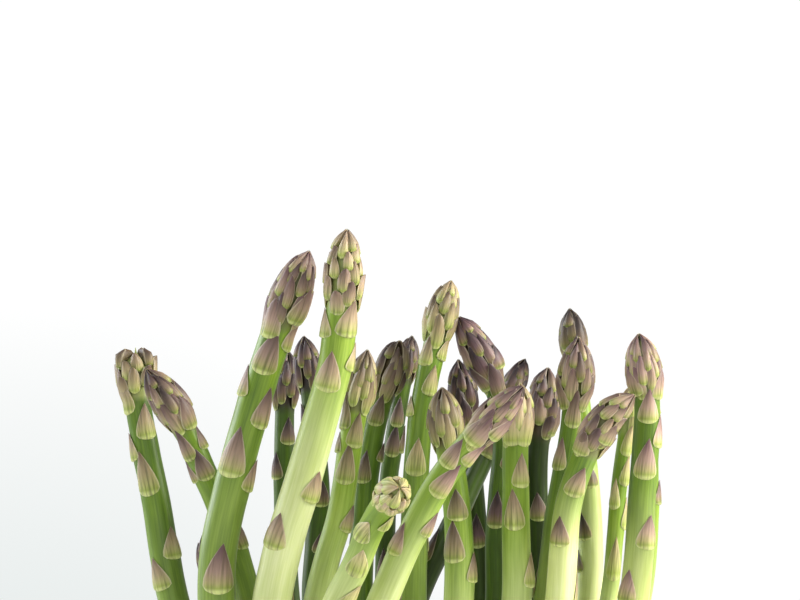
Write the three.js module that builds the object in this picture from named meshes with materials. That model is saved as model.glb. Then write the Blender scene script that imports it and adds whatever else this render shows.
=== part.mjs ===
// A tied bundle of green asparagus that stands on its cut ends.
// Millimetres, +Z up, origin on the floor at the middle of the bundle's box.

import * as THREE from 'three';

// Driving dimensions.
const bundleHeight = 255; // floor to the tallest tip
const stemThickness = 10; // the thickest spear, where it begins to fan out
const tieHeight = 48; // floor to the middle of the band
const tieWidth = 10; // how tall the band stands
const tieThickness = 1.4;
const tieFit = 0.3; // clearance between the band and the spears it holds
const spearGap = 0.6; // least room that is aimed for between two spears
const straightAbove = 14; // how far the spears stay upright above the middle of the band

// The routes below are drawn for spears of this thickness in a bundle of this height.
const drawnThickness = 10;
const drawnHeight = 255;

// The shape of one spear, as shares of its own stem thickness and head.
const buttShare = 1.08; // thickness at the cut end
const neckShare = 0.8; // thickness just under the head
const taperPower = 4; // the stem keeps its thickness for most of its length, then thins
const widestAt = 0.34; // where the head is widest, from its base
const headRound = 0.65; // below 1 the head is plump, above 1 it is lean

const sides = 8;
const stemRings = 17;
const headRings = 7;
const outlineSteps = 24; // points around each spear when the band's outline is found

// Settling: the spears are drawn in by the tie and pushed apart where they touch.
const gathered = 0.5; // each spear's first place in the tie, as a share of its place above it
const stride = 3; // distance between the points that are tested
const rounds = 260;
const squeezeRounds = 170;
const squeeze = 0.006; // share of its distance from the middle that a spear moves in each round
const squeezeSideways = 0.62; // how much weaker the squeeze is from side to side
const sideways = 0.3; // how readily spears yield sideways, rather than in depth, where they fan out
const evening = 0.5; // how much of a point's movement is taken from the points beside it
const spineSpacing = 4; // tested points from one point of the finished centre line to the next

// One entry for each spear. stem is its share of the full thickness, head is the width and
// length of its tip, and route is where its centre line runs above the tie, from low to high.
const spears = [
  { stem: 0.83, head: [10, 14], route: [[-59, 6, 162], [-64, 8, 189], [-68, 9, 210], [-69, 9, 226]] },
  { stem: 0.75, head: [9.4, 19], route: [[-40, 2, 163], [-46, 0, 183], [-56, -3, 206.5], [-65, -5, 221]] },
  {
    stem: 0.97, head: [10.4, 21],
    route: [[-46, -24, 166], [-42, -24, 195], [-29.6, -26, 236], [-23.8, -27, 250]],
  },
  {
    stem: 1, head: [9.2, 20],
    route: [[-34, -27, 155], [-23, -32, 203], [-17.4, -33, 224], [-14.6, -35, 255]],
  },
  { stem: 0.66, head: [7.4, 16], route: [[-31, 26, 160], [-32, 26, 191], [-32, 26, 209], [-31, 26, 225]] },
  {
    stem: 0.64, head: [7.4, 15],
    route: [[-24, 10, 162], [-22.5, 10, 187], [-23.5, 10, 202], [-26.5, 12, 229]],
  },
  {
    stem: 0.72, head: [7.8, 17],
    route: [[-23, -14, 160], [-17, -14, 184], [-14, -13, 204], [-10, -12, 226]],
  },
  { stem: 0.68, head: [9, 16], route: [[-12, 0, 160], [-11, 0, 183], [-9, 1, 203], [-2, 2, 228]] },
  { stem: 0.54, head: [6.2, 13], route: [[-6, 16, 161], [-5, 16, 192], [-3, 16, 207], [1, 18, 229]] },
  { stem: 0.72, head: [8.2, 17], route: [[1, -6, 160], [2, -5, 193], [4, -4, 213], [11, -2, 243]] },
  { stem: 0.82, head: [9.2, 16], route: [[12, -22, 160], [12, -22, 185], [10, -22, 200], [8, -22, 217]] },
  {
    stem: 0.64, head: [9.2, 21],
    route: [[22, -2, 160], [22, -1, 181], [23, 0, 210], [16, -1, 227], [12, -2, 234]],
  },
  { stem: 0.62, head: [8, 17], route: [[19, 14, 162], [18, 14, 177], [17, 14, 192], [13, 14, 223]] },
  { stem: 0.62, head: [6.2, 13], route: [[-2, 3, 150], [11, 8, 182], [16, 12, 192], [30, 22, 223]] },
  { stem: 0.79, head: [8, 19], route: [[-11, -30, 150], [0, -37, 181], [9, -41, 198], [27, -46, 218]] },
  {
    stem: 0.78, head: [8.6, 14],
    route: [[-20, -34, 155], [-12, -44, 177], [-7, -54, 189], [-2, -72, 196]],
  },
  { stem: 0.7, head: [9, 19], route: [[33, 10, 162], [32.5, 10, 192], [33, 10, 202], [35.5, 10, 221]] },
  { stem: 0.68, head: [7.6, 14], route: [[46, 14, 162], [46, 15, 187], [44, 17, 210], [41.4, 18, 236]] },
  { stem: 0.64, head: [9.6, 18], route: [[34, -8, 164], [36.5, -8, 186], [40, -8, 206], [42, -8, 229]] },
  {
    stem: 0.79, head: [8.4, 20],
    route: [[35, -25, 155], [38.5, -27, 190], [41.5, -28, 199], [47, -30, 209.5], [54, -31, 215.5]],
  },
  { stem: 0.8, head: [9.2, 16], route: [[54, -18, 160], [57, -18, 194], [58, -18, 214], [56, -18, 230]] },
  { stem: 0.48, head: [6, 13], route: [[50, 0, 163], [52, 0, 186], [54, 0, 203], [56, 0, 217]] },
  { stem: 0.8, head: [8.4, 15], route: [[26, -22, 160], [26, -22, 185], [26, -21, 206], [27, -20, 218]] },
  { stem: 0.46, head: [5.6, 13], route: [[59, 4, 163], [61, 4, 188], [61, 4, 200], [60.5, 4, 215]] },
  { stem: 0.54, head: [5.6, 11], route: [[-44, -8, 155], [-47, -8, 164], [-51, -8, 180]] },
];

const across = stemThickness / drawnThickness;
const upward = bundleHeight / drawnHeight;
const straightTop = tieHeight + straightAbove;

// The centre line as drawn: upright through the tie, then along the spear's route.
function drawnSpine(spear) {
  const above = spear.route.map(([x, y, z]) => new THREE.Vector3(x * across, y * across, z * upward));
  const foot = new THREE.Vector3(above[0].x * gathered, above[0].y * gathered, 0);
  const upright = [0, straightTop / 2, straightTop].map((z) => foot.clone().setZ(z));
  return new THREE.CatmullRomCurve3([...upright, ...above]);
}

// The spear's radius at a distance from its cut end.
function radiusAlong(spear, length, distance) {
  const thickness = spear.stem * stemThickness;
  const [headWidth, headLength] = spear.head.map((size) => size * across);
  const headStart = length - headLength;
  if (distance <= headStart) {
    const taper = (distance / headStart) ** taperPower;
    return (thickness / 2) * (buttShare + (neckShare - buttShare) * taper);
  }
  const neck = (thickness / 2) * neckShare;
  const along = (distance - headStart) / headLength;
  if (along < widestAt) {
    return THREE.MathUtils.lerp(neck, headWidth / 2, THREE.MathUtils.smoothstep(along, 0, widestAt));
  }
  const towardsTip = Math.min((along - widestAt) / (1 - widestAt), 1);
  return (headWidth / 2) * Math.cos((towardsTip * Math.PI) / 2) ** headRound;
}

// Points along a spear, with the radius at each and the place where each was drawn.
function tracePoints(spear) {
  const spine = drawnSpine(spear);
  const length = spine.getLength();
  const count = Math.round(length / stride);
  const points = spine.getSpacedPoints(count);
  const radii = points.map((point, index) => radiusAlong(spear, length, (index / count) * length));
  return { points, radii, start: points.map((point) => point.clone()) };
}

// The tie's pull on the upright part of a spear.
function drawIn(trace, amount) {
  for (const point of trace.points) {
    if (point.z > straightTop) break;
    point.x -= point.x * amount * squeezeSideways;
    point.y -= point.y * amount;
  }
}

// Moves two spears apart level by level where they are closer than they may be.
function pushApart(one, other) {
  const push = new THREE.Vector3();
  one.points.forEach((a, i) => {
    other.points.forEach((b, j) => {
      const room = one.radii[i] + other.radii[j] + spearGap;
      if (Math.abs(a.z - b.z) >= room) return;
      const distance = a.distanceTo(b);
      if (distance >= room) return;
      const yielding = Math.min(a.z, b.z) > straightTop ? sideways : 1;
      push.set((b.x - a.x) * yielding, b.y - a.y, 0).setLength((room - distance) / 2);
      a.sub(push);
      b.add(push);
    });
  });
}

// Evens out how far a spear has moved from its drawn route, so that it stays a smooth curve,
// and keeps its foot straight and upright.
function steady(trace) {
  const moved = trace.points.map((point, index) => point.clone().sub(trace.start[index]));
  const upright = moved.filter((move, index) => trace.start[index].z <= straightTop);
  const foot = new THREE.Vector3();
  upright.forEach((move) => foot.addScaledVector(move, 1 / upright.length));
  moved.forEach((move, index) => {
    if (index < upright.length) {
      move.copy(foot);
      return;
    }
    const before = moved[index - 1];
    const after = moved[Math.min(index + 1, moved.length - 1)];
    move.multiplyScalar(1 - evening).addScaledVector(before, evening / 2).addScaledVector(after, evening / 2);
  });
  trace.points.forEach((point, index) => point.copy(trace.start[index]).add(moved[index]));
}

function settle(traces) {
  for (let round = 0; round < rounds; round += 1) {
    const amount = round < squeezeRounds ? squeeze : 0;
    traces.forEach((trace) => drawIn(trace, amount));
    traces.forEach((trace, index) => {
      traces.slice(index + 1).forEach((other) => pushApart(trace, other));
    });
    traces.forEach(steady);
  }
}

// The points of the finished centre line: every few tested points, and always the tip.
function finishedSpine(trace) {
  const last = trace.points.length - 1;
  const kept = trace.points.filter((point, index) => index % spineSpacing === 0 && index < last - 1);
  return new THREE.CatmullRomCurve3([...kept, trace.points[last]]);
}

// Where the profile's rings lie, measured along the spear.
function ringDistances(length, headLength) {
  const headStart = length - headLength;
  const stem = Array.from({ length: stemRings }, (_, index) => (headStart * index) / stemRings);
  const head = Array.from({ length: headRings }, (_, index) => headStart + (headLength * index) / headRings);
  return [...stem, ...head];
}

// A turned profile, bent so that its axis follows the spear's centre line.
function makeSpear(spear, trace) {
  const spine = finishedSpine(trace);
  const length = spine.getLength();
  const distances = ringDistances(length, spear.head[1] * across);
  const rings = distances.map(
    (distance) => new THREE.Vector2(radiusAlong(spear, length, distance), distance),
  );
  const profile = [new THREE.Vector2(0, 0), ...rings, new THREE.Vector2(0, length)];
  const geometry = new THREE.LatheGeometry(profile, sides);
  const places = geometry.getAttribute('position');
  const frames = framesAlong(spine, profile.map((point) => point.y / length));
  const place = new THREE.Vector3();
  for (let index = 0; index < places.count; index += 1) {
    const { centre, right, forward } = frames[index % profile.length];
    place.copy(centre);
    place.addScaledVector(right, places.getX(index)).addScaledVector(forward, places.getZ(index));
    places.setXYZ(index, place.x, place.y, place.z);
  }
  geometry.computeVertexNormals();
  return geometry;
}

// Two directions square to the centre line at each share of its length, carried along without twist.
function framesAlong(spine, shares) {
  const right = new THREE.Vector3(1, 0, 0);
  return shares.map((share) => {
    const tangent = spine.getTangentAt(share);
    right.addScaledVector(tangent, -right.dot(tangent)).normalize();
    const forward = new THREE.Vector3().crossVectors(right, tangent);
    return { centre: spine.getPointAt(share), right: right.clone(), forward };
  });
}

// The stretched outline around every spear at the tie, at a given distance off them.
function outlineAround(traces, offset) {
  const points = traces.flatMap((trace) => {
    const centre = trace.points[0];
    const radius = trace.radii[0] + offset;
    return Array.from({ length: outlineSteps }, (_, step) => {
      const angle = (step / outlineSteps) * Math.PI * 2;
      return new THREE.Vector2(centre.x + radius * Math.cos(angle), centre.y + radius * Math.sin(angle));
    });
  });
  points.sort((a, b) => a.x - b.x || a.y - b.y);
  return [...halfHull(points), ...halfHull(points.reverse())];
}

// One side of the convex hull of points that are sorted from left to right, or right to left.
function halfHull(points) {
  const hull = [];
  for (const point of points) {
    while (hull.length > 1 && turn(hull[hull.length - 2], hull[hull.length - 1], point) <= 0) hull.pop();
    hull.push(point);
  }
  return hull.slice(0, -1);
}

// Above zero where the way from a through b to c turns left.
function turn(a, b, c) {
  return (b.x - a.x) * (c.y - a.y) - (b.y - a.y) * (c.x - a.x);
}

// The band, stretched flat across the gaps between the outer spears.
function makeBand(traces) {
  const outline = new THREE.Shape(outlineAround(traces, tieFit + tieThickness));
  outline.holes.push(new THREE.Path(outlineAround(traces, tieFit)));
  const geometry = new THREE.ExtrudeGeometry(outline, { depth: tieWidth, bevelEnabled: false });
  return geometry.translate(0, 0, tieHeight - tieWidth / 2);
}

const traces = spears.map(tracePoints);
settle(traces);

const bundle = new THREE.Group();
spears.forEach((spear, index) => {
  const material = new THREE.MeshStandardMaterial({ color: '#7f9f45', roughness: 0.45, metalness: 0 });
  const mesh = new THREE.Mesh(makeSpear(spear, traces[index]), material);
  mesh.name = `spear_${String(index + 1).padStart(2, '0')}`;
  bundle.add(mesh);
});

const bandMaterial = new THREE.MeshStandardMaterial({ color: '#5d4a86', roughness: 0.6, metalness: 0 });
const band = new THREE.Mesh(makeBand(traces), bandMaterial);
band.name = 'rubber_band';
bundle.add(band);

// The box's middle goes over the origin.
const middle = new THREE.Box3().setFromObject(bundle).getCenter(new THREE.Vector3());
bundle.position.set(-middle.x, -middle.y, 0);

const model = new THREE.Group();
model.add(bundle);

export default model;
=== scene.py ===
import math
import random

import bmesh
import bpy
import numpy as np
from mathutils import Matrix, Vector


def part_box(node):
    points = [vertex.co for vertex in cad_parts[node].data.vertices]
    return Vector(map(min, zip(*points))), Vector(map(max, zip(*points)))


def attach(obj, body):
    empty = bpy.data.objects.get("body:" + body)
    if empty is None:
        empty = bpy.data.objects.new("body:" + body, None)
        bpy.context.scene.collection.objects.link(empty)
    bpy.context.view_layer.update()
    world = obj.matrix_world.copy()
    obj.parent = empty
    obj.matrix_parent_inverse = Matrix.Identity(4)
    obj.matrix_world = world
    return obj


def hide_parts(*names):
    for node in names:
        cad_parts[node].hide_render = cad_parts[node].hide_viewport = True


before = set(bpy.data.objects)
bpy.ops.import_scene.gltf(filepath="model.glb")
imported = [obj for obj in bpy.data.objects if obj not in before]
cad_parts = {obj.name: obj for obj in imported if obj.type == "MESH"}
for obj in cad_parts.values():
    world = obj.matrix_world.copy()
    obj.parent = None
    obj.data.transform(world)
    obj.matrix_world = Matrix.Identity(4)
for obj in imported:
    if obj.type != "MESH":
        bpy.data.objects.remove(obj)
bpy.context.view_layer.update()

mm = 0.001
goldenTurn = math.radians(137.5)  # each scale leaf grows this far round from the one before
dice = random.Random(24)


def linear(hexColour):
    channels = [int(hexColour[i:i + 2], 16) / 255 for i in (1, 3, 5)]
    return [c / 12.92 if c <= 0.04045 else ((c + 0.055) / 1.055) ** 2.4 for c in channels] + [1.0]


def addNode(tree, kind, inputs=None, **settings):
    # inputs maps a socket's name or number to a value or to another node's output
    node = tree.nodes.new(kind)
    for name, value in settings.items():
        setattr(node, name, value)
    for key, value in (inputs or {}).items():
        socket = node.inputs[key]
        if isinstance(value, bpy.types.NodeSocket):
            tree.links.new(value, socket)
        else:
            socket.default_value = value
    return node


def addRamp(tree, factor, stops):
    # a colour ramp from (place, hex colour) stops
    node = addNode(tree, "ShaderNodeValToRGB", {"Fac": factor})
    ramp = node.color_ramp
    while len(ramp.elements) < len(stops):
        ramp.elements.new(0.5)
    for element, (place, colour) in zip(ramp.elements, stops):
        element.position = place
        element.color = linear(colour)
    return node.outputs["Color"]


def newMaterial(name):
    material = bpy.data.materials.new(name)
    material.use_nodes = True
    tree = material.node_tree
    return material, tree, tree.nodes["Principled BSDF"]


def live(node):
    # the output that a node shows for the data type it is set to
    return next(socket for socket in node.outputs if socket.enabled)


def spearSkin():
    # the stem's skin: taut, waxy and yellow-green, with fine lengthwise fibres that catch the light
    skin = {"fibreWidth": 0.4, "fibreLength": 12, "strandWidth": 0.45, "blotchWidth": 4, "blotchLength": 26,
            "fibreWeight": 0.35, "blotchWeight": 0.55, "hueAndShadeWeight": 0.3,
            "roughness": 0.4, "ior": 1.44, "glow": 0.2, "glowDepth": 1.2}
    material, tree, surface = newMaterial("asparagusSkin")
    place = addNode(tree, "ShaderNodeAttribute", attribute_name="aroundStem").outputs["Vector"]
    # painted shade in part: the stem's green runs from dark to light, and the darkest stems, deep in the
    # bunch, are darkened to stand in for shade
    hueAndShade = addNode(tree, "ShaderNodeAttribute", attribute_name="hueAndShade").outputs["Fac"]
    # painted highlight in part: the fade to cream lower down is partly the stem's own paler base and partly
    # painted highlight where the lit stems glare
    paleAndHighlight = addNode(tree, "ShaderNodeAttribute", attribute_name="paleAndHighlight").outputs["Fac"]
    inHead = addNode(tree, "ShaderNodeAttribute", attribute_name="inHead").outputs["Fac"]

    def grain(wide, long, detail):
        # noise drawn out along the stem, from the size of one mark in mm
        scale = (1 / (wide * mm), 1 / (wide * mm), 1 / (long * mm))
        stretched = addNode(tree, "ShaderNodeMapping", {"Vector": place, "Scale": scale}).outputs["Vector"]
        noise = addNode(tree, "ShaderNodeTexNoise", {"Vector": stretched, "Scale": 1.0, "Detail": detail})
        return noise.outputs["Fac"]

    fine = grain(skin["fibreWidth"], skin["fibreLength"], 3.0)
    broad = grain(skin["blotchWidth"], skin["blotchLength"], 2.0)
    fibres = addNode(tree, "ShaderNodeMath", {0: fine, 1: skin["fibreWeight"], 2: 0.05},
                     operation="MULTIPLY_ADD")
    mottled = addNode(tree, "ShaderNodeMath", {0: broad, 1: skin["blotchWeight"], 2: fibres.outputs[0]},
                      operation="MULTIPLY_ADD")
    shifted = addNode(tree, "ShaderNodeMath", {0: hueAndShade, 1: skin["hueAndShadeWeight"], 2: mottled.outputs[0]},
                      operation="MULTIPLY_ADD").outputs[0]
    greens = addRamp(tree, shifted, [(0.08, "#2b3b13"), (0.3, "#456018"), (0.45, "#5f7c20"),
                                     (0.6, "#79952c"), (0.8, "#9bb347")])
    creams = addRamp(tree, shifted, [(0.3, "#b2be6e"), (0.5, "#ccd58f"), (0.75, "#e4e7b8")])
    body = addNode(tree, "ShaderNodeMix", {0: paleAndHighlight, 6: greens, 7: creams}, data_type="RGBA").outputs[2]
    toneAndShade = addNode(tree, "ShaderNodeAttribute", attribute_name="toneAndShade").outputs["Fac"]
    # painted shade: the stem inside the head shows only between the buds, and is coloured dark there to
    # stand in for the shade in those gaps
    gapShade = addRamp(tree, toneAndShade, [(0.2, "#8f9a5a"), (0.6, "#54492f"), (1.0, "#2e2420")])
    core = addNode(tree, "ShaderNodeMix", {0: inHead, 6: body, 7: gapShade}, data_type="RGBA").outputs[2]
    cut = addNode(tree, "ShaderNodeAttribute", attribute_name="cutEnd").outputs["Fac"]
    strands = grain(skin["strandWidth"], skin["fibreLength"], 1.0)
    flesh = addRamp(tree, strands, [(0.3, "#bcbf86"), (0.43, "#d9d9b0"), (0.7, "#e8e7c8")])
    whole = addNode(tree, "ShaderNodeMix", {0: cut, 6: core, 7: flesh}, data_type="RGBA").outputs[2]
    tree.links.new(whole, surface.inputs["Base Color"])
    bump = addNode(tree, "ShaderNodeBump", {"Height": fine, "Strength": 0.2, "Distance": 0.15 * mm})
    tree.links.new(bump.outputs["Normal"], surface.inputs["Normal"])
    surface.inputs["Roughness"].default_value = skin["roughness"]
    surface.inputs["IOR"].default_value = skin["ior"]
    surface.inputs["Subsurface Weight"].default_value = skin["glow"]
    surface.inputs["Subsurface Radius"].default_value = (0.9, 1.0, 0.25)  # green light travels furthest
    surface.inputs["Subsurface Scale"].default_value = skin["glowDepth"] * mm
    return material


def scaleSkin():
    # the scale leaves and buds: yellow-green at the base, purple-brown above, cream margins, finely veined
    leaf = {"veins": 7, "roughness": 0.5, "ior": 1.42, "glow": 0.2, "glowDepth": 0.8}
    material, tree, surface = newMaterial("asparagusScale")
    shape = addNode(tree, "ShaderNodeAttribute", attribute_name="leafShape").outputs["Vector"]
    # painted shade in part: the leaves' tone runs from light to dark, and the darkest heads, deep in the
    # bunch, are darkened to stand in for shade
    toneAndShade = addNode(tree, "ShaderNodeAttribute", attribute_name="toneAndShade").outputs["Fac"]
    blush = addNode(tree, "ShaderNodeAttribute", attribute_name="blush").outputs["Fac"]
    margin = addNode(tree, "ShaderNodeAttribute", attribute_name="margin").outputs["Fac"]
    along = addNode(tree, "ShaderNodeSeparateXYZ", {"Vector": shape}).outputs["Z"]
    offset = addNode(tree, "ShaderNodeCombineXYZ", {"X": toneAndShade, "Y": toneAndShade, "Z": toneAndShade}).outputs["Vector"]
    stretched = addNode(tree, "ShaderNodeMapping", {"Vector": shape, "Scale": (leaf["veins"], 0.5, 1.0)})
    apart = (60.0, 60.0, 60.0)  # tones differ a little, so this gives each leaf its own veins
    moved = addNode(tree, "ShaderNodeVectorMath", {0: offset, 1: apart, 2: stretched.outputs[0]},
                    operation="MULTIPLY_ADD")
    veins = addNode(tree, "ShaderNodeTexNoise", {"Vector": moved.outputs[0], "Scale": 1.0, "Detail": 3.0})
    fresh = addNode(tree, "ShaderNodeMapRange", {"Value": toneAndShade, "From Min": -0.9, "From Max": 0.6,
                                                 "To Min": 0.25, "To Max": 1.0}).outputs["Result"]
    uneven = addNode(tree, "ShaderNodeMath", {0: veins.outputs["Fac"], 1: 1.3, 2: 0.35},
                     operation="MULTIPLY_ADD")
    scaled = addNode(tree, "ShaderNodeMath", {0: uneven.outputs[0], 1: fresh}, operation="MULTIPLY")
    climbed = addNode(tree, "ShaderNodeMath", {0: scaled.outputs[0], 1: along},
                      operation="MULTIPLY").outputs[0]
    baseLine, green = (0.0, "#c3cc82"), (0.07, "#a5b557")
    pinkLight = addRamp(tree, climbed, [baseLine, green, (0.16, "#c0bb80"),
                                        (0.36, "#c6a997"), (0.8, "#8a656c")])
    pinkDark = addRamp(tree, climbed, [baseLine, (0.05, "#838f47"), (0.16, "#8d7a5a"),
                                       (0.36, "#70555a"), (0.75, "#33232c")])
    oliveLight = addRamp(tree, climbed, [baseLine, green, (0.18, "#b5b872"),
                                         (0.42, "#b2a577"), (0.85, "#7d6850")])
    oliveDark = addRamp(tree, climbed, [baseLine, (0.05, "#7c8a40"), (0.18, "#7f764b"),
                                        (0.4, "#625440"), (0.75, "#332924")])
    pink = addNode(tree, "ShaderNodeMix", {0: toneAndShade, 6: pinkLight, 7: pinkDark}, data_type="RGBA")
    olive = addNode(tree, "ShaderNodeMix", {0: toneAndShade, 6: oliveLight, 7: oliveDark}, data_type="RGBA")
    body = addNode(tree, "ShaderNodeMix", {0: blush, 6: olive.outputs[2], 7: pink.outputs[2]},
                   data_type="RGBA")
    streak = addRamp(tree, veins.outputs["Fac"], [(0.34, "#675b61"), (0.5, "#dcd8d6"), (0.62, "#ffffff")])
    veined = addNode(tree, "ShaderNodeMix", {0: 0.6, 6: body.outputs[2], 7: streak},
                     data_type="RGBA", blend_type="MULTIPLY")
    rim = addNode(tree, "ShaderNodeMapRange", {"Value": margin, "From Min": 0.85, "From Max": 1.0,
                                               "To Min": 0.0, "To Max": 0.5})
    edged = addNode(tree, "ShaderNodeMix", {0: rim.outputs["Result"], 6: veined.outputs[2],
                                            7: linear("#d6ccae")}, data_type="RGBA")
    tree.links.new(edged.outputs[2], surface.inputs["Base Color"])
    bump = addNode(tree, "ShaderNodeBump", {"Height": veins.outputs["Fac"], "Strength": 0.4,
                                            "Distance": 0.3 * mm})
    tree.links.new(bump.outputs["Normal"], surface.inputs["Normal"])
    surface.inputs["Roughness"].default_value = leaf["roughness"]
    surface.inputs["IOR"].default_value = leaf["ior"]
    surface.inputs["Subsurface Weight"].default_value = leaf["glow"]
    surface.inputs["Subsurface Radius"].default_value = (1.0, 0.8, 0.4)
    surface.inputs["Subsurface Scale"].default_value = leaf["glowDepth"] * mm
    return material


def bandRubber():
    # dyed natural rubber: soft sheen, faint stretch lines along its length
    rubber = {"lineLength": 16, "lineWidth": 1.1, "roughness": 0.55, "ior": 1.52}
    material, tree, surface = newMaterial("stretchedRubber")
    place = addNode(tree, "ShaderNodeTexCoord").outputs["Object"]
    long, wide = 1 / (rubber["lineLength"] * mm), 1 / (rubber["lineWidth"] * mm)
    squeezed = addNode(tree, "ShaderNodeMapping", {"Vector": place, "Scale": (long, long, wide)})
    lines = addNode(tree, "ShaderNodeTexNoise", {"Vector": squeezed.outputs[0], "Scale": 1.0,
                                                 "Detail": 3.0})
    colour = addRamp(tree, lines.outputs["Fac"], [(0.3, "#4b3a78"), (0.7, "#6a5799")])
    tree.links.new(colour, surface.inputs["Base Color"])
    bump = addNode(tree, "ShaderNodeBump", {"Height": lines.outputs["Fac"], "Strength": 0.3,
                                            "Distance": 0.1 * mm})
    tree.links.new(bump.outputs["Normal"], surface.inputs["Normal"])
    surface.inputs["Roughness"].default_value = rubber["roughness"]
    surface.inputs["IOR"].default_value = rubber["ior"]
    return material


def smoothAlong(stations, values, wanted):
    # a smooth curve through the values, read at the wanted stations
    slopes = np.gradient(values, stations, axis=0)
    i = np.clip(np.searchsorted(stations, wanted) - 1, 0, len(stations) - 2)
    gap = stations[i + 1] - stations[i]
    t = (wanted - stations[i]) / gap
    if values.ndim == 2:
        gap, t = gap[:, None], t[:, None]
    start, end = values[i], values[i + 1]
    return (start * (1 + 2 * t) * (1 - t) ** 2 + slopes[i] * gap * t * (1 - t) ** 2
            + end * t * t * (3 - 2 * t) + slopes[i + 1] * gap * t * t * (t - 1))


def traceSpear(node):
    # walks up the plain spear ring by ring and returns its centres, radii and distances along it
    shape = bmesh.new()
    shape.from_mesh(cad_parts[node].data)
    bmesh.ops.remove_doubles(shape, verts=shape.verts, dist=0.005 * mm)
    butt = [v for v in shape.verts if v.co.z < 0.01 * mm]
    middle = sum((v.co for v in butt), Vector()) / len(butt)
    ring = {min(butt, key=lambda v: (v.co - middle).length)}
    seen = set(ring)
    centres, radii = [], []
    while ring:
        centre = sum((v.co for v in ring), Vector()) / len(ring)
        centres.append(centre)
        radii.append(sum((v.co - centre).length for v in ring) / len(ring))
        ring = {edge.other_vert(v) for v in ring for edge in v.link_edges} - seen
        seen |= ring
    shape.free()
    centres, radii = np.array(centres[1:]), np.array(radii[1:])  # the first is the butt's middle point
    steps = np.linalg.norm(np.diff(centres, axis=0), axis=1)
    return centres, radii, np.concatenate([[0], np.cumsum(steps)])


def headBase(radii, stations):
    # the neck is the thinnest ring below the widest part of the head
    headRings, neckRings = 8, 5  # how many rings to look through for each
    widest = len(radii) - headRings + int(np.argmax(radii[-headRings:]))
    neck = widest - neckRings + int(np.argmin(radii[widest - neckRings:widest]))
    return stations[neck]


bractShape = {
    "across": 6, "rows": (0.0, 0.035, 0.1, 0.24, 0.42, 0.62, 0.8, 0.92),
    "width": 1.05, "curve": 2.1, "narrowing": 0.3,  # how its sides bow and run in
    "corner": 0.72, "cornerEnd": 0.12,  # its lower corners are cut in, up to this share of its length
    "lip": 0.5, "lipEnd": 0.035, "bellyAt": 0.16, "tipThickness": 0.3, "rimThickness": 0.35,
    "sag": 0.07,
}
budShape = {
    "across": 6, "rows": (0.0, 0.04, 0.13, 0.3, 0.52, 0.74, 0.9),
    "width": 1.3, "footCurve": 0.36, "pointCurve": 0.62, "footWidth": 0.1,
    "footThickness": 0.45, "bellyAt": 0.14, "thinning": 0.16, "rimThickness": 0.55,
    "sag": 0.04,
}


def bractOutline(v):
    # a shield: widest just above its base line, with bowed sides that run in to a drawn-out point
    shape = bractShape
    body = shape["width"] * (1 - v ** shape["curve"]) * (1 - shape["narrowing"] * v)
    return body * (shape["corner"] + (1 - shape["corner"]) * min(v / shape["cornerEnd"], 1))


def bractHeight(u, v):
    # a thick lip along the base line, a belly over the bud that it covers, and thin margins
    shape = bractShape
    lip = shape["lip"] + (1 - shape["lip"]) * min(v / shape["lipEnd"], 1)
    away = min(abs(v - shape["bellyAt"]) / (1 - shape["bellyAt"]), 1)
    belly = shape["tipThickness"] + (1 - shape["tipThickness"]) * math.cos(away * math.pi / 2) ** 1.4
    return lip * belly * (shape["rimThickness"] + (1 - shape["rimThickness"]) * (1 - u * u))


def budOutline(v):
    # egg-shaped below and drawn out to a point above
    egg = (v + 0.02) ** budShape["footCurve"] * (1 - v) ** budShape["pointCurve"]
    return budShape["width"] * egg + budShape["footWidth"] * (1 - v) ** 4


def budHeight(u, v):
    # a full belly low down that thins towards the tip
    shape = budShape
    rise = min(v / shape["bellyAt"], 1) ** 0.6
    belly = (shape["footThickness"] + (1 - shape["footThickness"]) * rise) * (1 - shape["thinning"] * v * v)
    return belly * (shape["rimThickness"] + (1 - shape["rimThickness"]) * (1 - u * u))


def makeLeaf(name, shape, outline, height):
    # a closed leaf, modelled flat: x across, y off the stem, z from base to tip, all as shares
    across, rows = shape["across"], shape["rows"]
    points = []
    for v in rows:
        for step in range(across + 1):
            u = -1 + 2 * step / across
            points.append((u * outline(v), height(u, v), v - shape["sag"] * (1 - u * u) * (1 - v) ** 3))
    tip = len(points)
    points.append((0.0, height(0, 1), 1.0))
    backs = []
    for v in rows:
        backs.append(len(points))
        points.append((0.0, -0.35 * (1 - v) - 0.05, v))
    faces = []
    wide = across + 1
    for row in range(len(rows) - 1):
        low, high = row * wide, (row + 1) * wide
        for step in range(across):
            faces.append((low + step, low + step + 1, high + step + 1, high + step))
        faces.append((low + across, backs[row], backs[row + 1], high + across))
        faces.append((backs[row], low, high, backs[row + 1]))
    top = (len(rows) - 1) * wide
    for step in range(across):
        faces.append((top + step, top + step + 1, tip))
    faces.append((top + across, backs[-1], tip))
    faces.append((backs[-1], top, tip))
    faces.append(tuple(reversed(range(across + 1))) + (backs[0],))
    mesh = bpy.data.meshes.new(name)
    mesh.from_pydata(points, [], faces, shade_flat=False)
    starts = [row * wide for row in range(len(rows))]
    rim = {tip, *starts, *(start + across for start in starts)}
    foot = set(range(wide)) | {backs[0]}
    sharp = mesh.attributes.new("sharp_edge", "BOOLEAN", "EDGE")
    for edge in mesh.edges:
        ends = set(edge.vertices)
        sharp.data[edge.index].value = ends <= rim or ends <= foot
    kept = mesh.attributes.new("leafShape", "FLOAT_VECTOR", "POINT")
    kept.data.foreach_set("vector", np.array(points, np.float32).ravel())
    margin = [1.0 if i in rim else abs(-1 + 2 * (i % wide) / across) for i in range(tip + 1)]
    margin += [0.0] * len(backs)
    mesh.attributes.new("margin", "FLOAT", "POINT").data.foreach_set("value", margin)
    leaf = bpy.data.objects.new(name, mesh)
    bpy.context.scene.collection.objects.link(leaf)
    return leaf


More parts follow.
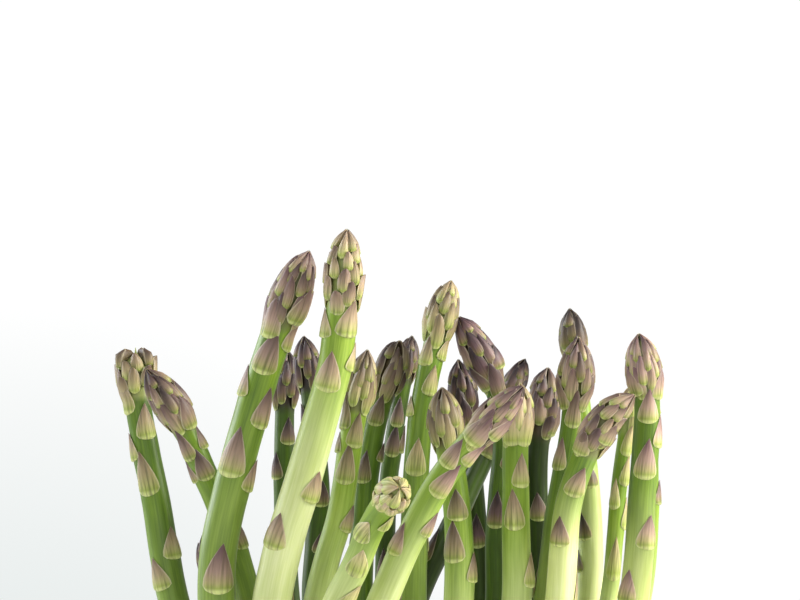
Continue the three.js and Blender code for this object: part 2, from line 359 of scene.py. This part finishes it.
def growLeavesTree():
    # sets a leaf on every leaf point and wraps it round the bent stem
    tree = bpy.data.node_groups.new("growLeaves", "GeometryNodeTree")
    sockets = [("Stem", "NodeSocketGeometry", None), ("Leaf Points", "NodeSocketObject", None),
               ("Centre Line", "NodeSocketObject", None), ("Bract", "NodeSocketObject", None),
               ("Bud", "NodeSocketObject", None), ("Leaf Material", "NodeSocketMaterial", None),
               ("Tip Skew", "NodeSocketFloat", 0.2), ("Bud Fill", "NodeSocketFloat", 1.0),
               ("Seed", "NodeSocketInt", 1)]
    for name, kind, value in sockets:
        socket = tree.interface.new_socket(name=name, in_out="INPUT", socket_type=kind)
        if value is not None:
            socket.default_value = value
    tree.interface.new_socket(name="Geometry", in_out="OUTPUT", socket_type="NodeSocketGeometry")
    given = addNode(tree, "NodeGroupInput").outputs

    def shapeOf(name):
        return addNode(tree, "GeometryNodeObjectInfo", {"Object": given[name]}).outputs["Geometry"]

    def attribute(name, kind="FLOAT"):
        return live(addNode(tree, "GeometryNodeInputNamedAttribute", {"Name": name}, data_type=kind))

    def sums(operation, *values):
        return addNode(tree, "ShaderNodeMath", dict(enumerate(values)), operation=operation).outputs[0]

    def vectors(operation, first, second):
        key = "Scale" if operation == "SCALE" else 1
        return live(addNode(tree, "ShaderNodeVectorMath", {0: first, key: second}, operation=operation))

    skew = addNode(tree, "FunctionNodeRandomValue", {2: -1.0, 3: 1.0, "Seed": given["Seed"]},
                   data_type="FLOAT")
    points = addNode(tree, "GeometryNodeStoreNamedAttribute",
                     {"Geometry": shapeOf("Leaf Points"), "Name": "skew", "Value": live(skew)},
                     data_type="FLOAT", domain="POINT").outputs["Geometry"]
    both = addNode(tree, "GeometryNodeJoinGeometry")
    for name, test in (("Bract", "LESS_THAN"), ("Bud", "GREATER_THAN")):
        chosen = addNode(tree, "FunctionNodeCompare", {0: attribute("kind"), 1: 0.5}, operation=test)
        placed = addNode(tree, "GeometryNodeInstanceOnPoints",
                         {"Points": points, "Selection": chosen.outputs[0], "Instance": shapeOf(name)})
        tree.links.new(placed.outputs[0], both.inputs[0])
    leaves = addNode(tree, "GeometryNodeRealizeInstances", {"Geometry": both.outputs[0]}).outputs[0]

    parts = addNode(tree, "ShaderNodeSeparateXYZ", {0: attribute("leafShape", "FLOAT_VECTOR")}).outputs
    across, off, up = parts["X"], parts["Y"], parts["Z"]
    upSquared = sums("MULTIPLY", up, up)
    along = sums("MULTIPLY_ADD", up, attribute("long"), attribute("foot"))
    line = addNode(tree, "GeometryNodeMeshToCurve", {"Mesh": shapeOf("Centre Line")}).outputs[0]

    def onLine(name, kind):
        return addNode(tree, "GeometryNodeSampleCurve", {"Curves": line, "Value": attribute(name, kind),
                                                         "Length": along}, data_type=kind, mode="LENGTH")

    right = onLine("right", "FLOAT_VECTOR")
    core, skin = live(onLine("coreRadius", "FLOAT")), live(onLine("skinRadius", "FLOAT"))
    skewed = sums("MULTIPLY", sums("MULTIPLY", attribute("skew"), given["Tip Skew"]), upSquared)
    angle = sums("ADD", sums("MULTIPLY_ADD", across, attribute("spread"), attribute("turn")), skewed)
    # leaves are thinner where the spear is, near its tip
    slim = addNode(tree, "ShaderNodeMapRange", {"Value": skin, "From Min": 0.0, "From Max": 2.2 * mm,
                                                "To Min": 0.25, "To Max": 1.0}).outputs["Result"]
    room = sums("SUBTRACT", skin, core)
    seat = sums("MULTIPLY_ADD", room, sums("SUBTRACT", 1.0, attribute("kind")), core)
    filled = sums("MULTIPLY", sums("MULTIPLY", room, attribute("kind")), given["Bud Fill"])
    thick = sums("MULTIPLY_ADD", attribute("thick"), slim, filled)
    raised = sums("MULTIPLY_ADD", off, thick, seat)
    raised = sums("MULTIPLY_ADD", upSquared, attribute("open"), raised)
    tangent = right.outputs["Tangent"]
    front = vectors("CROSS_PRODUCT", live(right), tangent)
    outward = vectors("ADD", vectors("SCALE", front, sums("COSINE", angle)),
                      vectors("SCALE", live(right), sums("SINE", angle)))
    place = vectors("ADD", right.outputs["Position"], vectors("SCALE", outward, raised))
    wrapped = addNode(tree, "GeometryNodeSetPosition", {"Geometry": leaves, "Position": place}).outputs[0]
    whole = addNode(tree, "GeometryNodeJoinGeometry")
    tree.links.new(wrapped, whole.inputs[0])
    tree.links.new(given["Stem"], whole.inputs[0])
    real = addNode(tree, "GeometryNodeRealizeInstances", {"Geometry": whole.outputs[0]}).outputs[0]
    isLeaf = addNode(tree, "FunctionNodeCompare", {0: attribute("long"), 1: 0.0}, operation="GREATER_THAN")
    painted = addNode(tree, "GeometryNodeSetMaterial", {"Geometry": real, "Selection": isLeaf.outputs[0],
                                                        "Material": given["Leaf Material"]})
    addNode(tree, "NodeGroupOutput", {0: painted.outputs[0]})
    return tree


spearShape = {
    "sides": 24, "ringGap": 1.5,
    "skinShare": 0.95, "headShare": 0.97,  # of the plain spear's thickness, to leave room for the leaves
    "coreShare": 0.66, "coreEnd": 0.7,  # the stem inside the head: how thick, and where it begins to end
    "blunt": 0.12, "fill": 1.05, "tipSkew": 0.2,
    "nodeSwell": 0.22,
    "bractSpread": 49, "bractThick": 0.85, "bractLength": 9.0,
    "firstGap": 17, "gapGrowth": 1.13, "lowestBract": 16,  # the bracts that follow those in the table
    "lastBud": 4,  # the foot of the last bud, below the tip
    "closing": 0.8,  # the buds above this share of the head reach its tip and close it
    "fadeFrom": 30, "fadeLength": 42,
}

# Each spear's own colours and leaves, in mm and degrees.
# hueAndShade: the stem's green, from -1 dark to 1 light; the darkest values, on spears deep in the bunch,
# are partly painted shade. paleAndHighlight: how far it fades to cream, fadeFrom below the tip; partly the
# stem's own paler base and partly painted highlight on the brightly lit spears.
# toneAndShade: the leaves, from 0 light to 1 dark; the darkest values, on heads deep in the bunch, are
# partly painted shade. blush: from 0 olive to 1 purple.
# blunt: how full the head's top is. fill: how proud its buds stand. flare: how far the top ones lean out.
# buds: how many, their length and width, and how far the lowest ones lean out.
# bracts: the distance below the tip, the turn from the front and the length of each.
spearLeaves = {
    "spear_01": {
        "hueAndShade": -0.4, "paleAndHighlight": 0.1, "toneAndShade": 0.3, "blush": 0.15, "blunt": 0.8, "fill": 1.15, "flare": 1.5,
        "buds": (16, 6.5, 5, 0.8),
        "bracts": [(16, -60, 11), (23, 25, 9), (28, -80, 7), (37, -20, 11), (54, 50, 8), (61, -40, 8)],
    },
    "spear_02": {
        "hueAndShade": 0.0, "paleAndHighlight": 0.1, "toneAndShade": 0.7, "blush": 0.5,
        "buds": (24, 8.5, 5, 0),
        "bracts": [(18, 55, 8.5), (25, -35, 8.5), (24, 80, 6), (31, 10, 8), (31, -75, 6)],
    },
    "spear_03": {
        "hueAndShade": -0.05, "paleAndHighlight": 0.1, "toneAndShade": 0.45, "blush": 0.7, "blunt": 0.2,
        "buds": (34, 8, 4.8, 0.1),
        "bracts": [(17.5, 55, 9.5), (24.5, 75, 8), (22.5, -35, 9.5), (31, -8, 11), (38, -75, 7.5),
                   (44, 50, 10), (57, -20, 12), (60, 75, 8), (85, 10, 11.5)],
    },
    "spear_04": {
        "hueAndShade": 0.4, "paleAndHighlight": 0.7, "fadeFrom": 26, "toneAndShade": 0.2, "blush": 0.35, "blunt": 0.2, "fill": 1.15,
        "buds": (26, 5.8, 5, 0.5),
        "bracts": [(25, 35, 8.5), (26, -75, 7), (38.5, -12, 9.5), (33, 80, 6.5), (65, 50, 7.5),
                   (78, -40, 8.5)],
    },
    "spear_05": {
        "hueAndShade": -0.9, "paleAndHighlight": 0.0, "toneAndShade": 1.1, "blush": 0.6,
        "buds": (20, 7.5, 4.2, 0),
        "bracts": [(24, 30, 7), (33, -50, 7)],
    },
    "spear_06": {
        "hueAndShade": -0.9, "paleAndHighlight": 0.0, "toneAndShade": 1.1, "blush": 0.6,
        "buds": (20, 7.5, 4.2, 0),
        "bracts": [(24, -60, 7), (43, 10, 7), (55, 25, 6)],
    },
    "spear_07": {
        "hueAndShade": 0.5, "paleAndHighlight": 0.4, "toneAndShade": 0.45, "blush": 0.1,
        "buds": (22, 8, 4.6, 0),
        "bracts": [(20, -65, 8.5), (24, 20, 8.5), (33, -5, 10), (26, -88, 5), (44.5, 60, 6.5)],
    },
    "spear_08": {
        "hueAndShade": -0.35, "paleAndHighlight": 0.0, "toneAndShade": 0.65, "blush": 0.25, "blunt": 0.45,
        "buds": (22, 8, 4.8, 0),
        "bracts": [(22, -10, 8), (36.5, -25, 8), (31, 80, 5)],
    },
    "spear_09": {
        "hueAndShade": -0.8, "paleAndHighlight": 0.0, "toneAndShade": 0.9, "blush": 0.5,
        "buds": (18, 7, 3.8, 0),
        "bracts": [(23.5, 5, 7.5), (31, 0, 8), (30, 80, 7)],
    },
    "spear_10": {
        "hueAndShade": -0.1, "paleAndHighlight": 0.1, "toneAndShade": 0.2, "blush": 0.05, "blunt": 0.3,
        "buds": (22, 7.5, 4.8, 0.1),
        "bracts": [(22, -38, 7), (20, 70, 6), (29, 25, 7.5), (35, -85, 5), (49, -5, 9)],
    },
    "spear_11": {
        "hueAndShade": 0.2, "paleAndHighlight": 0.5, "toneAndShade": 0.55, "blush": 0.1,
        "buds": (20, 9.5, 5, 0),
        "bracts": [(18, 70, 7), (32, 0, 7.5), (42, -30, 10), (47, 70, 7)],
    },
    "spear_12": {
        "hueAndShade": -0.6, "paleAndHighlight": 0.0, "toneAndShade": 0.9, "blush": 1,
        "buds": (20, 10, 6, 0),
        "bracts": [(20, -60, 8), (16, 60, 6), (22.5, 20, 9), (40.5, 30, 6), (55, -15, 9)],
    },
    "spear_13": {
        "hueAndShade": -1.0, "paleAndHighlight": 0.0, "toneAndShade": 1.3, "blush": 0.8,
        "buds": (18, 8, 5, 0),
        "bracts": [(17, 0, 8), (48, -5, 8.5)],
    },
    "spear_14": {
        "hueAndShade": -1.2, "paleAndHighlight": 0.0, "toneAndShade": 0.95, "blush": 0.6,
        "buds": (16, 7, 4.6, 0),
        "bracts": [(16, -40, 7), (29, 20, 7)],
    },
    "spear_15": {
        "hueAndShade": 0.35, "paleAndHighlight": 0.65, "fadeFrom": 28, "toneAndShade": 0.45, "blush": 0.8, "blunt": 0.1,
        "buds": (24, 7.5, 4.4, 0.3),
        "bracts": [(14, 58, 8), (18, -15, 8.5), (23, 50, 7), (26, -40, 7.5), (33, 12, 9.5),
                   (43.5, 60, 6.5), (50.5, -55, 8)],
    },
    "spear_16": {
        "hueAndShade": 0.35, "paleAndHighlight": 0.8, "fadeFrom": 20, "toneAndShade": -0.75, "blush": 0.4, "blunt": 0.25,
        "buds": (22, 5.5, 5, 0),
        "bracts": [(28, -50, 8), (22, 50, 6), (38, 0, 8), (48.5, 35, 8)],
    },
    "spear_17": {
        "hueAndShade": -1.4, "paleAndHighlight": 0.0, "toneAndShade": 0.75, "blush": 0.6, "blunt": 0.2, "fill": 1.15,
        "buds": (26, 6.5, 5, 0.3),
        "bracts": [(17, 65, 8), (38.5, 5, 7)],
    },
    "spear_18": {
        "hueAndShade": 0.3, "paleAndHighlight": 0.8, "toneAndShade": 1.0, "blush": 0.1,
        "buds": (14, 11, 6.5, 0),
        "bracts": [(15, 10, 8), (46, 5, 7), (59, -40, 7), (67.5, -80, 6)],
    },
    "spear_19": {
        "hueAndShade": -0.3, "paleAndHighlight": 0.35, "toneAndShade": 0.45, "blush": 0.55,
        "buds": (22, 8.5, 4.6, 0),
        "bracts": [(18, 60, 7), (18, -65, 7), (22, 5, 9), (33, -45, 8)],
    },
    "spear_20": {
        "hueAndShade": 0.0, "paleAndHighlight": 1.6, "fadeFrom": 20, "toneAndShade": 0.45, "blush": 0.5, "blunt": 0.2, "fill": 1.15,
        "buds": (26, 6, 4.6, 0.3),
        "bracts": [(14, 45, 6), (19, -45, 6.5), (29, 5, 7.5), (41.5, -28, 7)],
    },
    "spear_21": {
        "hueAndShade": -0.3, "paleAndHighlight": 1.0, "fadeFrom": 32, "toneAndShade": 0.35, "blush": 0.8,
        "buds": (30, 7.5, 4.2, 0),
        "bracts": [(15, -60, 7), (16, 60, 7), (21.5, 0, 8), (27.5, 75, 7.5), (35, 0, 9.5), (52, 28, 8),
                   (65.5, -45, 8)],
    },
    "spear_22": {
        "hueAndShade": 0.35, "paleAndHighlight": 0.6, "toneAndShade": -0.2, "blush": 0,
        "buds": (14, 7, 3.8, 0),
        "bracts": [(17.5, 25, 8), (25, 40, 7.5), (31, -30, 7.5), (36, 75, 8), (48.5, 5, 10.5)],
    },
    "spear_23": {
        "hueAndShade": 0.3, "paleAndHighlight": 0.7, "toneAndShade": 0.05, "blush": 0.3,
        "buds": (18, 8, 4.6, 0.1),
        "bracts": [(15, -20, 8), (15, 40, 9), (25, 25, 8), (35, -10, 9.5), (49, 70, 8)],
    },
    "spear_24": {
        "hueAndShade": 0.5, "paleAndHighlight": 0.6, "toneAndShade": 0.5, "blush": 0.8,
        "buds": (14, 7, 3.6, 0),
        "bracts": [(14, -5, 9), (28, 70, 6)],
    },
    "spear_25": {
        "hueAndShade": -0.3, "paleAndHighlight": 0.0, "toneAndShade": 0.85, "blush": 0.5,
        "buds": (12, 6, 3.6, 0),
        "bracts": [(14, -60, 7)],
    },
}


def directionsAlong(centres):
    # for each centre: forward along the spear, to its right, and towards the front
    forward = np.gradient(centres, axis=0)
    forward /= np.linalg.norm(forward, axis=1)[:, None]
    right = np.array([1.0, 0, 0]) - forward * forward[:, :1]
    right /= np.linalg.norm(right, axis=1)[:, None]
    return forward, right, np.cross(right, forward)


def smoothStep(x):
    x = np.clip(x, 0, 1)
    return x * x * (3 - 2 * x)


def spearRadii(stations, radii, wanted, neck, blunt):
    # the skin that the leaves lie on, and the core inside the head that the buds grow from
    plain = np.interp(wanted, stations, radii)
    widest = np.argmax(np.where(wanted > neck, plain, 0))
    fullest = plain[widest]
    rounded = fullest * (np.maximum(plain, 1e-6) / fullest) ** (1 - blunt)
    reach = (wanted - neck) / (stations[-1] - neck)
    share = np.interp(smoothStep(reach / 0.2), [0, 1], [spearShape["skinShare"], spearShape["headShare"]])
    skin = np.where(np.arange(len(wanted)) > widest, rounded, plain) * share
    inside = 1 - (1 - spearShape["coreShare"]) * smoothStep(reach / 0.3)
    core = skin * inside * (1 - smoothStep((reach - spearShape["coreEnd"]) / 0.25))
    return np.maximum(skin, 0.05 * mm), np.maximum(core, 0.04 * mm), smoothStep(reach / 0.12)


def leafPlan(leaves, line):
    # where each leaf sits and how large it is; kind is 0 for a bract on the stem, 1 for a bud in the head
    def blushed():
        return leaves["blush"] + dice.uniform(-0.15, 0.15)

    plan = []
    neck, top = line["neck"], line["top"]
    spread = math.radians(spearShape["bractSpread"])
    for down, turn, long in leaves["bracts"]:
        toneAndShade = leaves["toneAndShade"] + dice.uniform(-0.12, 0.12)
        plan.append({"foot": top - down * mm, "turn": math.radians(turn), "long": long * mm,
                     "spread": spread * dice.uniform(0.9, 1.08), "thick": spearShape["bractThick"] * mm,
                     "open": dice.uniform(0.0, 0.25) * mm, "kind": 0, "toneAndShade": toneAndShade, "blush": blushed()})
    lowest = max(down for down, turn, long in leaves["bracts"])
    foot, turn = top - lowest * mm, math.radians(leaves["bracts"][-1][1])
    gap = spearShape["firstGap"] * mm
    while foot - gap > spearShape["lowestBract"] * mm:
        foot -= gap * dice.uniform(0.8, 1.2)
        turn += goldenTurn
        gap *= spearShape["gapGrowth"]
        length = spearShape["bractLength"] * dice.uniform(0.85, 1.15) * mm
        plan.append({"foot": foot, "turn": turn, "long": length, "spread": spread,
                     "thick": spearShape["bractThick"] * 0.9 * mm, "open": 0.1 * mm, "kind": 0,
                     "toneAndShade": leaves["toneAndShade"] + dice.uniform(-0.15, 0.1), "blush": blushed()})
    count, long, wide, opening = leaves["buds"]
    start = dice.uniform(0, 6)
    for i in range(count):
        share = i / (count - 1)  # 0 at the neck, 1 at the tip
        climb = (top - neck - spearShape["lastBud"] * mm) * share ** 0.92
        foot = neck - 0.5 * mm + climb + dice.uniform(-0.4, 0.4) * mm
        length = min(long * (1.1 - 0.4 * share) * dice.uniform(0.9, 1.1) * mm, top - foot)
        if share > spearShape["closing"]:
            length = top - foot - dice.uniform(0, 0.12) * mm
        around = np.interp(foot + 0.3 * length, line["distances"], line["skin"])
        spread = min(0.5 * wide * (1.1 - 0.25 * share) * dice.uniform(0.9, 1.15) * mm / around, 1.3)
        turn = start + i * goldenTurn + dice.uniform(-0.2, 0.2)
        lean = (opening + 0.25) * dice.uniform(0.3, 1.7) * (1 - share) + leaves.get("flare", 0) * share
        plan.append({"foot": foot, "turn": turn, "long": length, "spread": spread,
                     "thick": dice.uniform(0.1, 0.5) * mm, "open": lean * mm, "kind": 1,
                     "toneAndShade": leaves["toneAndShade"] + dice.uniform(-0.3, 0.3) + 0.1 * share, "blush": blushed()})
    return plan


def pointsMesh(name, places, values):
    # loose points that carry named values, one array each
    mesh = bpy.data.meshes.new(name)
    mesh.from_pydata([tuple(place) for place in places], [], [])
    for key, numbers in values.items():
        numbers = np.array(numbers, np.float32)
        kind = "FLOAT_VECTOR" if numbers.ndim == 2 else "FLOAT"
        data = mesh.attributes.new(key, kind, "POINT").data
        data.foreach_set("vector" if numbers.ndim == 2 else "value", numbers.ravel())
    item = bpy.data.objects.new(name, mesh)
    bpy.context.scene.collection.objects.link(item)
    return item


def makeStem(name, line, plan, leaves):
    # the smooth stem, swollen a little under each bract, closed at its cut end and at the tip
    sides = spearShape["sides"]
    distances, centres, radii = line["distances"], line["centres"], line["core"]
    forward, right, front = line["forward"], line["right"], line["front"]
    top = distances[-1]
    turns = np.linspace(0, 2 * math.pi, sides, endpoint=False)
    seed = dice.uniform(0, 6)
    shapeWave = 1 + 0.014 * np.sin(2 * turns + seed) + 0.01 * np.sin(3 * turns + 2 * seed)
    wide = radii[:, None] * shapeWave[None, :]
    for leaf in plan:
        if leaf["kind"] == 0:
            above = distances - leaf["foot"]
            fading = np.exp(-(above / np.where(above < 0, 3.5 * mm, 1.2 * mm)) ** 2)
            facing = np.clip(np.cos(turns - leaf["turn"]), 0, 1) ** 1.5
            wide += spearShape["nodeSwell"] * mm * fading[:, None] * facing[None, :]
    outward = (front[:, None, :] * np.cos(turns)[None, :, None]
               + right[:, None, :] * np.sin(turns)[None, :, None])
    points = (centres[:, None, :] + outward * wide[:, :, None]).reshape(-1, 3)
    rings = len(distances)
    faces = []
    for ring in range(rings - 1):
        for side in range(sides):
            nextSide = (side + 1) % sides
            a, b = ring * sides + side, ring * sides + nextSide
            faces.append((a, b, b + sides, a + sides))
    butt, tip = len(points), len(points) + 1
    points = np.vstack([points, centres[0], centres[-1] + forward[-1] * 0.1 * mm])
    last = (rings - 1) * sides
    for side in range(sides):
        nextSide = (side + 1) % sides
        faces.append((nextSide, side, butt))
        faces.append((last + side, last + nextSide, tip))
    around = np.stack([wide * np.sin(turns)[None, :], wide * np.cos(turns)[None, :],
                       np.repeat(distances[:, None], sides, 1)], axis=2).reshape(-1, 3)
    around = np.vstack([around, [0, 0, 0], [0, 0, top]]) + [0, 0, seed]
    down = (top - distances) / mm
    fadeFrom = leaves.get("fadeFrom", spearShape["fadeFrom"])
    # the fade to cream: partly the stem's own paler base, partly painted highlight on the brightly lit
    # spears
    paleAndHighlight = leaves["paleAndHighlight"] * smoothStep((down - fadeFrom) / spearShape["fadeLength"])
    inHead = np.concatenate([np.repeat(line["inHead"], sides), [0, 1]])
    paleAndHighlight = np.concatenate([np.repeat(paleAndHighlight, sides), [paleAndHighlight[0], 0]])
    shades = {"paleAndHighlight": paleAndHighlight, "inHead": inHead, "hueAndShade": np.full(len(points), leaves["hueAndShade"]),
              "toneAndShade": np.full(len(points), leaves["toneAndShade"])}
    mesh = bpy.data.meshes.new(name)
    mesh.from_pydata([tuple(p) for p in points], [], faces, shade_flat=False)
    rim = mesh.attributes.new("sharp_edge", "BOOLEAN", "EDGE")
    for edge in mesh.edges:
        rim.data[edge.index].value = max(edge.vertices) < sides
    cutEnd = [float(butt in face) for face in faces]
    mesh.attributes.new("cutEnd", "FLOAT", "FACE").data.foreach_set("value", cutEnd)
    for key, numbers in shades.items():
        mesh.attributes.new(key, "FLOAT", "POINT").data.foreach_set("value", numbers.astype(np.float32))
    kept = mesh.attributes.new("aroundStem", "FLOAT_VECTOR", "POINT")
    kept.data.foreach_set("vector", around.astype(np.float32).ravel())
    mesh.materials.append(materials["skin"])
    mesh.materials.append(materials["scale"])
    stem = bpy.data.objects.new(name, mesh)
    bpy.context.scene.collection.objects.link(stem)
    return stem


def centreLine(node, blunt):
    ringCentres, ringRadii, stations = traceSpear(node)
    neck, top = headBase(ringRadii, stations), stations[-1]
    count = int(top / (spearShape["ringGap"] * mm))
    distances = np.linspace(0, top, count)
    centres = smoothAlong(stations, ringCentres, distances)
    forward, right, front = directionsAlong(centres)
    skin, core, inHead = spearRadii(stations, ringRadii, distances, neck, blunt)
    return {"distances": distances, "centres": centres, "skin": skin, "core": core, "inHead": inHead,
            "neck": neck, "top": top, "forward": forward, "right": right, "front": front}


def lineObject(name, line):
    # the centre line as a chain of points, for the leaves to follow
    item = pointsMesh(name, line["centres"], {"coreRadius": line["core"], "skinRadius": line["skin"],
                                              "right": line["right"]})
    item.data.edges.add(len(line["centres"]) - 1)
    for i, edge in enumerate(item.data.edges):
        edge.vertices = (i, i + 1)
    return item


def growSpear(node, tree, bract, bud):
    leaves = spearLeaves[node]
    line = centreLine(node, leaves.get("blunt", spearShape["blunt"]))
    plan = leafPlan(leaves, line)
    values = {key: [leaf[key] for leaf in plan] for key in plan[0]}
    points = pointsMesh(node + "_points", [(0, 0, leaf["foot"]) for leaf in plan], values)
    path = lineObject(node + "_line", line)
    stem = makeStem(node + "_stem", line, plan, leaves)
    grow = stem.modifiers.new("leaves", "NODES")
    grow.node_group = tree
    chosen = {"Leaf Points": points, "Centre Line": path, "Bract": bract, "Bud": bud,
              "Leaf Material": materials["scale"], "Tip Skew": spearShape["tipSkew"],
              "Bud Fill": leaves.get("fill", spearShape["fill"]), "Seed": 7 + len(plan)}
    for item in tree.interface.items_tree:
        if item.in_out == "INPUT" and item.name in chosen:
            grow[item.identifier] = chosen[item.name]
    view = bpy.context.evaluated_depsgraph_get()
    mesh = bpy.data.meshes.new_from_object(stem.evaluated_get(view))
    mesh.name = node + "_grown"
    spear = bpy.data.objects.new(node + "_grown", mesh)
    bpy.context.scene.collection.objects.link(spear)
    for spent in (stem, points, path):
        bpy.data.objects.remove(spent)
    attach(spear, "root")
    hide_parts(node)


bandShape = {"thick": 1.4, "outlinePoints": 180, "sectionPoints": 16, "squareness": 5.0}


def turnsRight(a, b, c):
    # true where the walk from a through b to c doesn't turn left
    return (b[0] - a[0]) * (c[1] - a[1]) - (b[1] - a[1]) * (c[0] - a[0]) <= 0


def outerCorners(points):
    # the points that a string pulled tight round all of them would touch, anticlockwise
    ordered = sorted(points)
    corners = []
    for run in (ordered, ordered[::-1]):
        chain = []
        for point in run:
            while len(chain) > 1 and turnsRight(chain[-2], chain[-1], point):
                chain.pop()
            chain.append(point)
        corners += chain[:-1]
    return np.array(corners)


def evenOutline(corners, count):
    # the closed outline walked in even steps, then eased a little at its corners
    closed = np.vstack([corners, corners[:1]])
    run = np.concatenate([[0], np.cumsum(np.linalg.norm(np.diff(closed, axis=0), axis=1))])
    wanted = np.linspace(0, run[-1], count, endpoint=False)
    even = np.stack([np.interp(wanted, run, closed[:, i]) for i in range(2)], axis=1)
    return (np.roll(even, 1, 0) + 2 * even + np.roll(even, -1, 0)) / 4


def rounded(part):
    # a circle's sine or cosine pushed out towards a square with rounded corners
    return math.copysign(abs(part) ** (2 / bandShape["squareness"]), part)


def makeBand():
    # a flat band stretched round the outline of the plain one, with soft edges
    low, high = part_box("rubber_band")
    plain = {(round(v.co.x, 6), round(v.co.y, 6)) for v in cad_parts["rubber_band"].data.vertices}
    count, steps = bandShape["outlinePoints"], bandShape["sectionPoints"]
    outer = evenOutline(outerCorners(plain), count)
    tangent = np.roll(outer, -1, 0) - np.roll(outer, 1, 0)
    tangent /= np.linalg.norm(tangent, axis=1)[:, None]
    inwards = np.stack([-tangent[:, 1], tangent[:, 0]], 1)
    middle, tall = (low.z + high.z) / 2, high.z - low.z
    points, faces = [], []
    for i in range(count):
        for j in range(steps):
            turn = 2 * math.pi * j / steps
            depth = bandShape["thick"] * mm * (0.5 - 0.5 * rounded(math.cos(turn)))
            x, y = outer[i] + inwards[i] * depth
            points.append((x, y, middle + rounded(math.sin(turn)) * tall / 2))
            nextRing, k = (i + 1) % count, (j + 1) % steps
            faces.append((i * steps + j, nextRing * steps + j, nextRing * steps + k, i * steps + k))
    mesh = bpy.data.meshes.new("band")
    mesh.from_pydata(points, [], faces, shade_flat=False)
    mesh.materials.append(materials["rubber"])
    band = bpy.data.objects.new("band_stretched", mesh)
    bpy.context.scene.collection.objects.link(band)
    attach(band, "root")
    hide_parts("rubber_band")


def addLight(name, place, target, size, power, colour):
    light = bpy.data.lights.new(name, "AREA")
    light.size = size
    light.energy = power
    light.color = linear(colour)[:3]
    lamp = bpy.data.objects.new(name, light)
    lamp.location = place
    lamp.rotation_euler = (Vector(target) - Vector(place)).to_track_quat("-Z", "Y").to_euler()
    bpy.context.scene.collection.objects.link(lamp)


def makeStage():
    look = {
        "away": 0.678, "toRight": 0.0029, "height": 0.238, "lens": 126, "sensor": 36,
        "wallGlow": 1.02, "roomGlow": 0.43,  # what the camera sees of the room, and what lights the spears
        "shadedCorner": (-0.141, 0.965, -0.22),  # painted shade: the wall is a little greyer low on the left
        "cornerFrom": 0.974, "cornerTo": 0.995,
        "floorSize": 0.9, "floorDrop": 0.5,
    }
    camera = bpy.data.objects.new("camera", bpy.data.cameras.new("camera"))
    camera.data.lens = look["lens"]
    camera.data.sensor_width = look["sensor"]
    camera.location = (look["toRight"], -look["away"], look["height"])
    camera.rotation_euler = (math.radians(90), 0, 0)
    bpy.context.scene.collection.objects.link(camera)
    bpy.context.scene.camera = camera
    addLight("keyRight", (0.8, -0.1, 0.55), (0.0, 0.0, 0.19), 0.45, 17, "#fffaf0")
    addLight("rimLeft", (-0.75, 0.35, 0.5), (0, 0, 0.19), 0.6, 9, "#f4f8ff")
    addLight("fillFront", (-0.2, -0.9, 0.75), (0, 0, 0.17), 0.9, 4.5, "#ffffff")
    world = bpy.data.worlds.new("paleRoom")
    world.use_nodes = True
    bpy.context.scene.world = world
    tree = world.node_tree
    towards = addNode(tree, "ShaderNodeTexCoord").outputs["Generated"]
    # painted shade on the wall: greyer towards the lower left
    corner = addNode(tree, "ShaderNodeVectorMath", {0: towards, 1: look["shadedCorner"]},
                     operation="DOT_PRODUCT")
    shaded = addNode(tree, "ShaderNodeMapRange", {"Value": corner.outputs["Value"],
                                                  "From Min": look["cornerFrom"],
                                                  "From Max": look["cornerTo"]}).outputs["Result"]
    wall = addRamp(tree, shaded, [(0.0, "#ffffff"), (1.0, "#e6ebea")])
    background = tree.nodes["Background"]
    tree.links.new(wall, background.inputs["Color"])
    seen = addNode(tree, "ShaderNodeLightPath").outputs["Is Camera Ray"]
    strength = addNode(tree, "ShaderNodeMapRange", {"Value": seen, "To Min": look["roomGlow"],
                                                    "To Max": look["wallGlow"]})
    tree.links.new(strength.outputs["Result"], background.inputs["Strength"])
    material, tree, surface = newMaterial("paleFloor")
    surface.inputs["Base Color"].default_value = linear("#e2e2e0")
    surface.inputs["Roughness"].default_value = 0.7
    mesh = bpy.data.meshes.new("floor")
    shape = bmesh.new()
    bmesh.ops.create_circle(shape, cap_ends=True, segments=96, radius=look["floorSize"])
    shape.to_mesh(mesh)
    mesh.materials.append(material)
    floor = bpy.data.objects.new("floor", mesh)
    floor.location.z = -look["floorDrop"] * mm
    bpy.context.scene.collection.objects.link(floor)
    bpy.context.scene.view_settings.view_transform = "Standard"


makeStage()
print("stage made")
materials = {"skin": spearSkin(), "scale": scaleSkin(), "rubber": bandRubber()}
bractLeaf = makeLeaf("bractLeaf", bractShape, bractOutline, bractHeight)
budLeaf = makeLeaf("budLeaf", budShape, budOutline, budHeight)
leavesTree = growLeavesTree()
for spearName in sorted(spearLeaves):
    growSpear(spearName, leavesTree, bractLeaf, budLeaf)
print("spears grown", len(spearLeaves))
for spent in (bractLeaf, budLeaf):
    bpy.data.objects.remove(spent)
makeBand()
print("band stretched")
